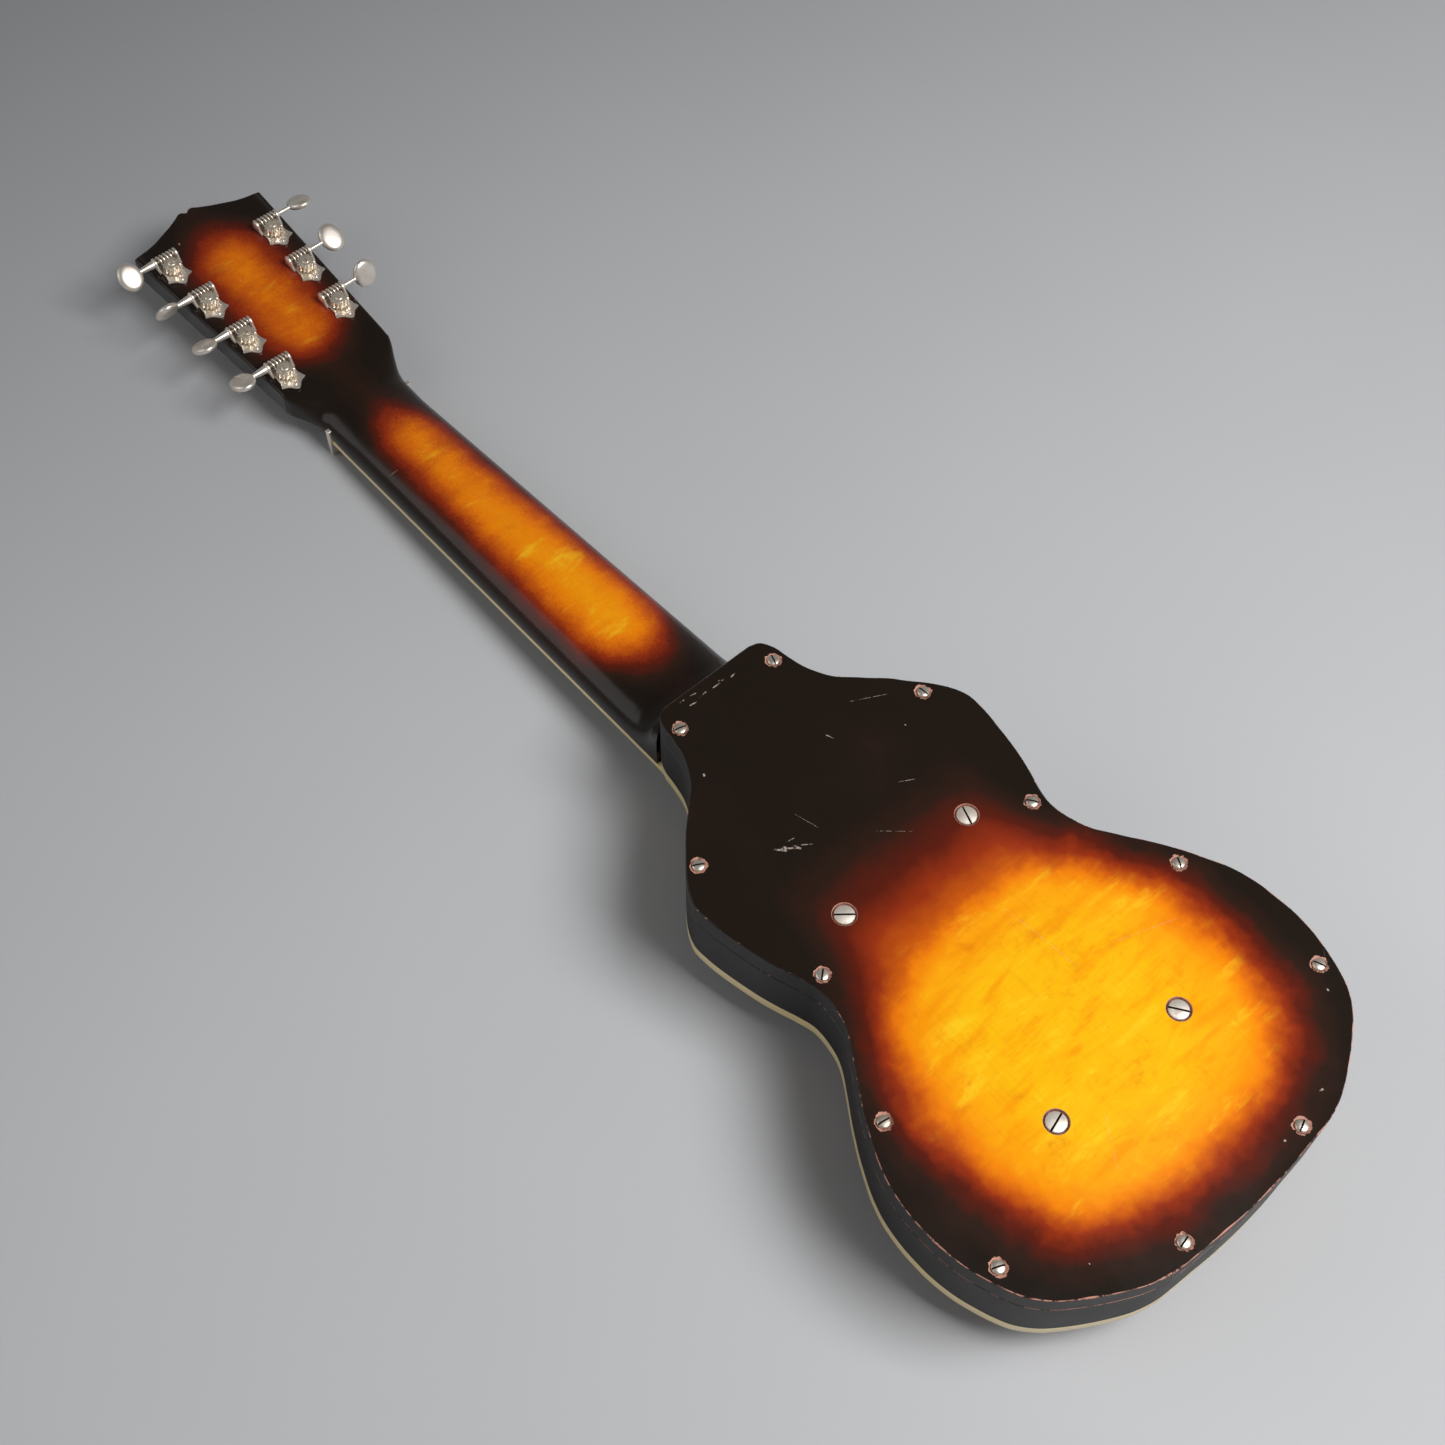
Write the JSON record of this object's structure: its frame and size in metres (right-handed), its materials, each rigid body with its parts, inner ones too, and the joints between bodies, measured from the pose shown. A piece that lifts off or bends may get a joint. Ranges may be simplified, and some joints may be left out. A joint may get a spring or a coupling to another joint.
{
  "type": "electric Hawaiian lap steel guitar",
  "caption": "Solid-top electric Hawaiian lap steel guitar with a flat sunburst back plate, bolted bridge and blade pickup, knobs, output socket and open-gear tuners, lying face down.",
  "frame": {"origin": "bottom centre of the bounding box, on the surface that the nut and the bridge stand on", "axes": "+X from the headstock to the butt, +Y to the bass side, +Z out of the back of the instrument"},
  "size_m": [0.857, 0.24, 0.0761],
  "materials": {
    "sunburst_maple": "gloss lacquer, yellow to black sunburst",
    "black_lacquer": "aged satin black lacquer",
    "cream_celluloid": "aged cream binding",
    "rosewood": "open-grained satin",
    "nickel": "worn nickel plate",
    "steel": "plain steel",
    "black_fibre": "black moulding"
  },
  "bodies": {
    "instrument": {"body_shell": "black_lacquer", "back_plate": "sunburst_maple", "body_binding": "cream_celluloid", "neck": "sunburst_maple", "fingerboard": "rosewood", "fingerboard_binding": "cream_celluloid", "nut": "nickel", "bridge": "nickel", "pickup_coil": "black_fibre", "pickup_blade": "steel", "pickup_magnet": "steel", "volume_pot": "steel", "tone_pot": "steel", "output_jack": "nickel", "plate_screw_01": "nickel", "plate_screw_02": "nickel", "plate_screw_03": "nickel", "plate_screw_04": "nickel", "plate_screw_05": "nickel", "plate_screw_06": "nickel", "plate_screw_07": "nickel", "plate_screw_08": "nickel", "plate_screw_09": "nickel", "plate_screw_10": "nickel", "plate_screw_11": "nickel", "plate_screw_12": "nickel", "plate_bolt_1": "nickel", "plate_bolt_2": "nickel", "plate_bolt_3": "nickel", "plate_bolt_4": "nickel", "tuner_plate_treble_1": "nickel", "tuner_plate_treble_2": "nickel", "tuner_plate_treble_3": "nickel", "tuner_plate_treble_4": "nickel", "tuner_plate_bass_1": "nickel", "tuner_plate_bass_2": "nickel", "tuner_plate_bass_3": "nickel", "string_1": "steel", "string_2": "steel", "string_3": "steel", "string_4": "steel", "string_5": "steel", "string_6": "steel", "string_7": "steel"},
    "volume_knob": {"volume_knob": "black_fibre"},
    "tone_knob": {"tone_knob": "black_fibre"},
    "tuner_worm_treble_1": {"tuner_worm_treble_1": "nickel"},
    "tuner_gear_treble_1": {"tuner_gear_treble_1": "nickel"},
    "tuner_worm_treble_2": {"tuner_worm_treble_2": "nickel"},
    "tuner_gear_treble_2": {"tuner_gear_treble_2": "nickel"},
    "tuner_worm_treble_3": {"tuner_worm_treble_3": "nickel"},
    "tuner_gear_treble_3": {"tuner_gear_treble_3": "nickel"},
    "tuner_worm_treble_4": {"tuner_worm_treble_4": "nickel"},
    "tuner_gear_treble_4": {"tuner_gear_treble_4": "nickel"},
    "tuner_worm_bass_1": {"tuner_worm_bass_1": "nickel"},
    "tuner_gear_bass_1": {"tuner_gear_bass_1": "nickel"},
    "tuner_worm_bass_2": {"tuner_worm_bass_2": "nickel"},
    "tuner_gear_bass_2": {"tuner_gear_bass_2": "nickel"},
    "tuner_worm_bass_3": {"tuner_worm_bass_3": "nickel"},
    "tuner_gear_bass_3": {"tuner_gear_bass_3": "nickel"}
  },
  "joints": [
    {"name": "volume_turn", "type": "hinge", "parent": "instrument", "child": "volume_knob", "pos_m": [0.3325, -0.08, 0.0165], "axis": [0, 0, -1], "range_deg": [-150, 150]},
    {"name": "tone_turn", "type": "hinge", "parent": "instrument", "child": "tone_knob", "pos_m": [0.2915, -0.064, 0.0165], "axis": [0, 0, -1], "range_deg": [-150, 150]},
    {"name": "button_turn_treble_1", "type": "hinge", "parent": "instrument", "child": "tuner_worm_treble_1", "pos_m": [-0.39826, -0.03306, 0.0443], "axis": [0, 1, 0], "continuous": true},
    {"name": "post_turn_treble_1", "type": "hinge", "parent": "instrument", "child": "tuner_gear_treble_1", "pos_m": [-0.39031, -0.03306, 0.03918], "axis": [0.0519, 0, 0.9987], "continuous": true},
    {"name": "button_turn_treble_2", "type": "hinge", "parent": "instrument", "child": "tuner_worm_treble_2", "pos_m": [-0.36146, -0.0313, 0.04238], "axis": [0, 1, 0], "continuous": true},
    {"name": "post_turn_treble_2", "type": "hinge", "parent": "instrument", "child": "tuner_gear_treble_2", "pos_m": [-0.35351, -0.0313, 0.03726], "axis": [0.0519, 0, 0.9987], "continuous": true},
    {"name": "button_turn_treble_3", "type": "hinge", "parent": "instrument", "child": "tuner_worm_treble_3", "pos_m": [-0.32466, -0.02953, 0.04047], "axis": [0, 1, 0], "continuous": true},
    {"name": "post_turn_treble_3", "type": "hinge", "parent": "instrument", "child": "tuner_gear_treble_3", "pos_m": [-0.31671, -0.02953, 0.03535], "axis": [0.0519, 0, 0.9987], "continuous": true},
    {"name": "button_turn_treble_4", "type": "hinge", "parent": "instrument", "child": "tuner_worm_treble_4", "pos_m": [-0.28786, -0.02777, 0.03856], "axis": [0, 1, 0], "continuous": true},
    {"name": "post_turn_treble_4", "type": "hinge", "parent": "instrument", "child": "tuner_gear_treble_4", "pos_m": [-0.27991, -0.02777, 0.03344], "axis": [0.0519, 0, 0.9987], "continuous": true},
    {"name": "button_turn_bass_1", "type": "hinge", "parent": "instrument", "child": "tuner_worm_bass_1", "pos_m": [-0.38626, 0.03249, 0.04367], "axis": [0, 1, 0], "continuous": true},
    {"name": "post_turn_bass_1", "type": "hinge", "parent": "instrument", "child": "tuner_gear_bass_1", "pos_m": [-0.37831, 0.03249, 0.03855], "axis": [0.0519, 0, 0.9987], "continuous": true},
    {"name": "button_turn_bass_2", "type": "hinge", "parent": "instrument", "child": "tuner_worm_bass_2", "pos_m": [-0.34946, 0.03072, 0.04176], "axis": [0, 1, 0], "continuous": true},
    {"name": "post_turn_bass_2", "type": "hinge", "parent": "instrument", "child": "tuner_gear_bass_2", "pos_m": [-0.34151, 0.03072, 0.03664], "axis": [0.0519, 0, 0.9987], "continuous": true},
    {"name": "button_turn_bass_3", "type": "hinge", "parent": "instrument", "child": "tuner_worm_bass_3", "pos_m": [-0.31266, 0.02896, 0.03985], "axis": [0, 1, 0], "continuous": true},
    {"name": "post_turn_bass_3", "type": "hinge", "parent": "instrument", "child": "tuner_gear_bass_3", "pos_m": [-0.30471, 0.02896, 0.03473], "axis": [0.0519, 0, 0.9987], "continuous": true}
  ],
  "couplings": [
    {"joint": "post_turn_treble_1", "follows": "button_turn_treble_1", "ratio": 0.071429},
    {"joint": "post_turn_treble_2", "follows": "button_turn_treble_2", "ratio": 0.071429},
    {"joint": "post_turn_treble_3", "follows": "button_turn_treble_3", "ratio": 0.071429},
    {"joint": "post_turn_treble_4", "follows": "button_turn_treble_4", "ratio": 0.071429},
    {"joint": "post_turn_bass_1", "follows": "button_turn_bass_1", "ratio": 0.071429},
    {"joint": "post_turn_bass_2", "follows": "button_turn_bass_2", "ratio": 0.071429},
    {"joint": "post_turn_bass_3", "follows": "button_turn_bass_3", "ratio": 0.071429}
  ]
}
